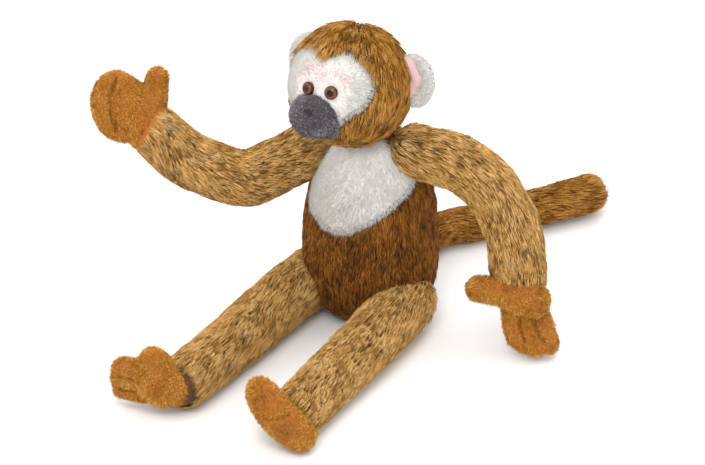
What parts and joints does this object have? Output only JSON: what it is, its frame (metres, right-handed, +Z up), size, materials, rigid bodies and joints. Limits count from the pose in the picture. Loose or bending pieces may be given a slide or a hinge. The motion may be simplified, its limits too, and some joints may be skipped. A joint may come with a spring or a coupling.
{
  "type": "stuffed monkey",
  "caption": "Seated plush monkey with a round head, white face and bib, and long stuffed arms, legs and tail that swing at their seams.",
  "frame": {"origin": "the middle of the flat seat where the toy sits, on the surface it sits on", "axes": "+Z up, the belly faces -Y, the toy's own left side is +X"},
  "size_m": [0.36, 0.4415, 0.252],
  "materials": {
    "brown_fur": "matte",
    "white_plush": "matte",
    "pink_plush": "matte",
    "grey_plush": "matte",
    "tan_plush": "matte",
    "black_thread": "matte",
    "eye_plastic": "gloss",
    "washer_plastic": "matte",
    "fibre_stuffing": "matte",
    "pellet_bag": "matte"
  },
  "bodies": {
    "torso": {"body_skin": "brown_fur", "chest_bib": "white_plush", "body_filling": "fibre_stuffing", "seat_pellet_bag": "pellet_bag"},
    "head": {"head_skin": "brown_fur", "face_mask": "white_plush", "head_filling": "fibre_stuffing", "muzzle": "grey_plush", "nose_stitch": "black_thread", "eye_l": "eye_plastic", "eye_r": "eye_plastic", "eye_washer_l": "washer_plastic", "eye_washer_r": "washer_plastic", "ear_outer_l": "white_plush", "ear_outer_r": "white_plush", "ear_inner_l": "pink_plush", "ear_inner_r": "pink_plush"},
    "tail_base": {"tail_base_skin": "brown_fur", "tail_base_filling": "fibre_stuffing"},
    "tail_tip": {"tail_tip_skin": "brown_fur", "tail_tip_filling": "fibre_stuffing"},
    "upper_arm_l": {"upper_arm_skin_l": "brown_fur", "upper_arm_filling_l": "fibre_stuffing"},
    "forearm_l": {"forearm_skin_l": "brown_fur", "forearm_filling_l": "fibre_stuffing"},
    "hand_l": {"hand_l": "tan_plush", "hand_filling_l": "fibre_stuffing"},
    "thigh_l": {"thigh_skin_l": "brown_fur", "thigh_filling_l": "fibre_stuffing"},
    "shin_l": {"shin_skin_l": "brown_fur", "shin_filling_l": "fibre_stuffing"},
    "foot_l": {"foot_l": "tan_plush", "foot_filling_l": "fibre_stuffing"},
    "upper_arm_r": {"upper_arm_skin_r": "brown_fur", "upper_arm_filling_r": "fibre_stuffing"},
    "forearm_r": {"forearm_skin_r": "brown_fur", "forearm_filling_r": "fibre_stuffing"},
    "hand_r": {"hand_r": "tan_plush", "hand_filling_r": "fibre_stuffing"},
    "thigh_r": {"thigh_skin_r": "brown_fur", "thigh_filling_r": "fibre_stuffing"},
    "shin_r": {"shin_skin_r": "brown_fur", "shin_filling_r": "fibre_stuffing"},
    "foot_r": {"foot_r": "tan_plush", "foot_filling_r": "fibre_stuffing"}
  },
  "joints": [
    {"name": "neck_turn", "type": "hinge", "parent": "torso", "child": "head", "pos_m": [-0.012, -0.012, 0.204], "axis": [0, 0, 1], "range_deg": [-35, 35]},
    {"name": "shoulder_l", "type": "hinge", "parent": "torso", "child": "upper_arm_l", "pos_m": [0.036, 0.005, 0.148], "axis": [0, -1, 0], "range_deg": [0, 45]},
    {"name": "elbow_l", "type": "hinge", "parent": "upper_arm_l", "child": "forearm_l", "pos_m": [0.106, 0.005, 0.134], "axis": [0, 1, 0], "range_deg": [-50, 5]},
    {"name": "wrist_l", "type": "hinge", "parent": "forearm_l", "child": "hand_l", "pos_m": [0.128, 0.005, 0.05], "axis": [0.2534, 0, -0.9674], "range_deg": [-30, 30]},
    {"name": "shoulder_r", "type": "hinge", "parent": "torso", "child": "upper_arm_r", "pos_m": [-0.045, -0.006, 0.138], "axis": [-0.6901, 0.7237, 0], "range_deg": [-30, 25]},
    {"name": "elbow_r", "type": "hinge", "parent": "upper_arm_r", "child": "forearm_r", "pos_m": [-0.088, -0.047, 0.113], "axis": [-0.3952, 0.7435, -0.5395], "range_deg": [-40, 25]},
    {"name": "wrist_r", "type": "hinge", "parent": "forearm_r", "child": "hand_r", "pos_m": [-0.164, -0.062, 0.148], "axis": [-0.8941, -0.1765, 0.4117], "range_deg": [-30, 30]},
    {"name": "hip_l", "type": "hinge", "parent": "torso", "child": "thigh_l", "pos_m": [0.041, -0.017, 0.022], "axis": [-0.9999, 0.0109, 0], "range_deg": [0, 30]},
    {"name": "knee_l", "type": "hinge", "parent": "thigh_l", "child": "shin_l", "pos_m": [0.04, -0.109, 0.022], "axis": [-1, 0, 0], "range_deg": [0, 35]},
    {"name": "ankle_l", "type": "hinge", "parent": "shin_l", "child": "foot_l", "pos_m": [0.038, -0.202, 0.022], "axis": [-0.0215, -0.9998, 0], "range_deg": [-20, 20]},
    {"name": "hip_r", "type": "hinge", "parent": "torso", "child": "thigh_r", "pos_m": [-0.041, -0.017, 0.022], "axis": [-0.9952, 0.0974, 0], "range_deg": [0, 30]},
    {"name": "knee_r", "type": "hinge", "parent": "thigh_r", "child": "shin_r", "pos_m": [-0.05, -0.109, 0.022], "axis": [-1, 0, 0], "range_deg": [0, 35]},
    {"name": "ankle_r", "type": "hinge", "parent": "shin_r", "child": "foot_r", "pos_m": [-0.059, -0.201, 0.022], "axis": [-0.0974, -0.9952, 0], "range_deg": [-25, 0]},
    {"name": "tail_root", "type": "hinge", "parent": "torso", "child": "tail_base", "pos_m": [0.002, 0.046, 0.0135], "axis": [0.9939, -0.1104, 0], "range_deg": [0, 50]},
    {"name": "tail_curl", "type": "hinge", "parent": "tail_base", "child": "tail_tip", "pos_m": [0.008, 0.1, 0.0135], "axis": [0, 0, 1], "range_deg": [-30, 60]}
  ]
}
